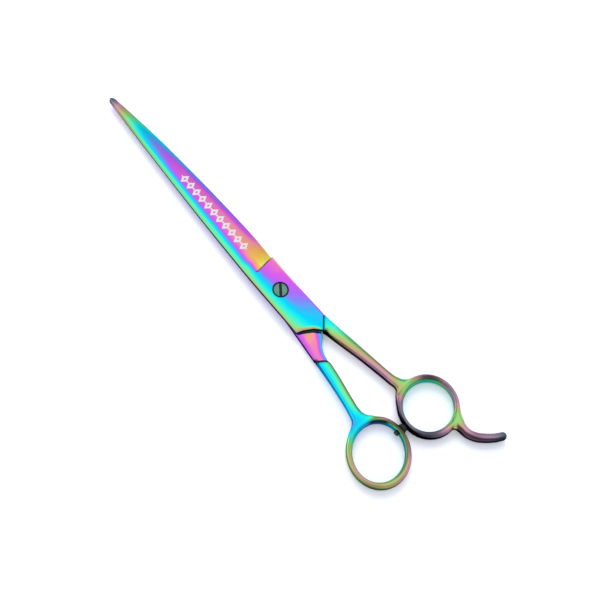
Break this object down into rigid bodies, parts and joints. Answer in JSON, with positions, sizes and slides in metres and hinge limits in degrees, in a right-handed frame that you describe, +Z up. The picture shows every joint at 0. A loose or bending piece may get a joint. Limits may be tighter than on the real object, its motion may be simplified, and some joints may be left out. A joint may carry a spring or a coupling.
{
  "type": "thinning shears",
  "caption": "Long hairdresser's thinning shears with a plain front blade, a toothed rear blade, a slotted pivot screw, finger rings, a fixed finger rest and a rubber bumper.",
  "frame": {"origin": "on the pivot axis, in the plane that the closed shears lie on, at the flush end of the pivot screw", "axes": "+X towards the blade tips, +Y towards the thumb ring, +Z up out of the pivot screw's slotted head"},
  "size_m": [0.2001, 0.0555, 0.0055],
  "materials": {
    "front_blade": "polished steel with a rainbow titanium coating, gold at the grind through magenta and blue to green at the tip",
    "front_handle": "polished steel with a rainbow titanium coating, teal and lime to dusty pink",
    "rear_blade": "polished steel with a rainbow titanium coating, pink and magenta on the tang",
    "rear_handle": "polished steel with a rainbow titanium coating, cyan to gold and salmon round the ring",
    "pivot_screw": "turned steel with a thin grey-green coating",
    "tension_washer": "sprung steel, bright",
    "pivot_bushing": "natural nylon",
    "glide_washer": "natural nylon",
    "bumper": "matt black rubber"
  },
  "bodies": {
    "rear_half": {"rear_blade": "rear_blade", "rear_handle": "rear_handle", "glide_washer": "glide_washer", "bumper": "bumper"},
    "front_half": {"front_blade": "front_blade", "front_handle": "front_handle", "pivot_bushing": "pivot_bushing"},
    "pivot_fastener": {"pivot_screw": "pivot_screw", "tension_washer": "tension_washer"}
  },
  "joints": [
    {"name": "blade_pivot", "type": "hinge", "parent": "rear_half", "child": "front_half", "pos_m": [0, 0, 0], "axis": [0, 0, 1], "range_deg": [0, 130]},
    {"name": "tension_screw_turn", "type": "hinge", "parent": "rear_half", "child": "pivot_fastener", "pos_m": [0, 0, 0], "axis": [0, 0, 1], "range_deg": [-90, 90]}
  ]
}
